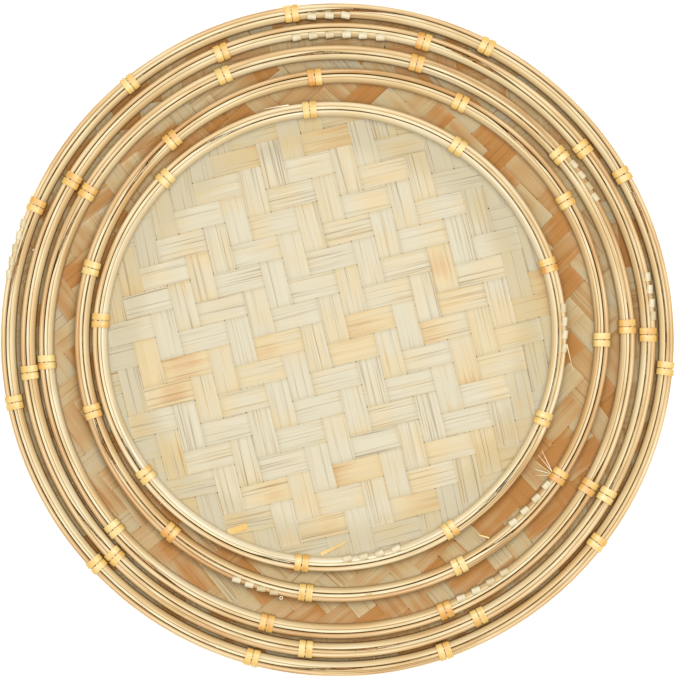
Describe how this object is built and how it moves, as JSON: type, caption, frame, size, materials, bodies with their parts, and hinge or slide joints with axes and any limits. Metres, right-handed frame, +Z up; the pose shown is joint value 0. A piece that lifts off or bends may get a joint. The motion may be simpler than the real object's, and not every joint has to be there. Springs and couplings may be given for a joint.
{
  "type": "nested bamboo basket set",
  "caption": "Nested set of shallow round woven bamboo baskets with hooped rims and cane ties, for rinsing, drying and serving food.",
  "frame": {"origin": "on the surface the set stands on, under the middle of the largest basket's floor", "axes": "+Z up, out of the baskets' mouths; +X and +Y across the rims"},
  "size_m": [0.2831, 0.2828, 0.0306],
  "materials": {
    "woven_splits": "matt flat bamboo splits with fine lengthwise grain",
    "pale_lath": "planed bamboo lath, satin",
    "tan_lath": "bamboo lath with its smooth skin outside, satin",
    "filler_lath": "split bamboo sliver, matt",
    "golden_cane": "glossy golden cane skin",
    "cream_split": "thin cream bamboo split, matt"
  },
  "bodies": {
    "basket_5": {"mat_5": "woven_splits", "inner_hoop_5": "pale_lath", "outer_hoop_5": "tan_lath", "filler_5": "filler_lath", "ties_5": "golden_cane", "inner_lashing_5": "cream_split", "outer_lashing_5": "cream_split"},
    "basket_4": {"mat_4": "woven_splits", "inner_hoop_4": "pale_lath", "outer_hoop_4": "tan_lath", "filler_4": "filler_lath", "ties_4": "golden_cane", "inner_lashing_4": "cream_split", "outer_lashing_4": "cream_split"},
    "basket_3": {"mat_3": "woven_splits", "inner_hoop_3": "pale_lath", "outer_hoop_3": "tan_lath", "filler_3": "filler_lath", "ties_3": "golden_cane", "inner_lashing_3": "cream_split", "outer_lashing_3": "cream_split"},
    "basket_2": {"mat_2": "woven_splits", "inner_hoop_2": "pale_lath", "outer_hoop_2": "tan_lath", "filler_2": "filler_lath", "ties_2": "golden_cane", "inner_lashing_2": "cream_split", "outer_lashing_2": "cream_split"},
    "basket_1": {"mat_1": "woven_splits", "inner_hoop_1": "pale_lath", "outer_hoop_1": "tan_lath", "filler_1": "filler_lath", "ties_1": "golden_cane", "inner_lashing_1": "cream_split", "outer_lashing_1": "cream_split"}
  },
  "joints": [
    {"name": "lift_4", "type": "slide", "parent": "basket_5", "child": "basket_4", "axis": [0, 0, 1], "range_m": [0, 0.036]},
    {"name": "lift_3", "type": "slide", "parent": "basket_4", "child": "basket_3", "axis": [0, 0, 1], "range_m": [0, 0.034]},
    {"name": "lift_2", "type": "slide", "parent": "basket_3", "child": "basket_2", "axis": [0, 0, 1], "range_m": [0, 0.032]},
    {"name": "lift_1", "type": "slide", "parent": "basket_2", "child": "basket_1", "axis": [0, 0, 1], "range_m": [0, 0.03]}
  ]
}
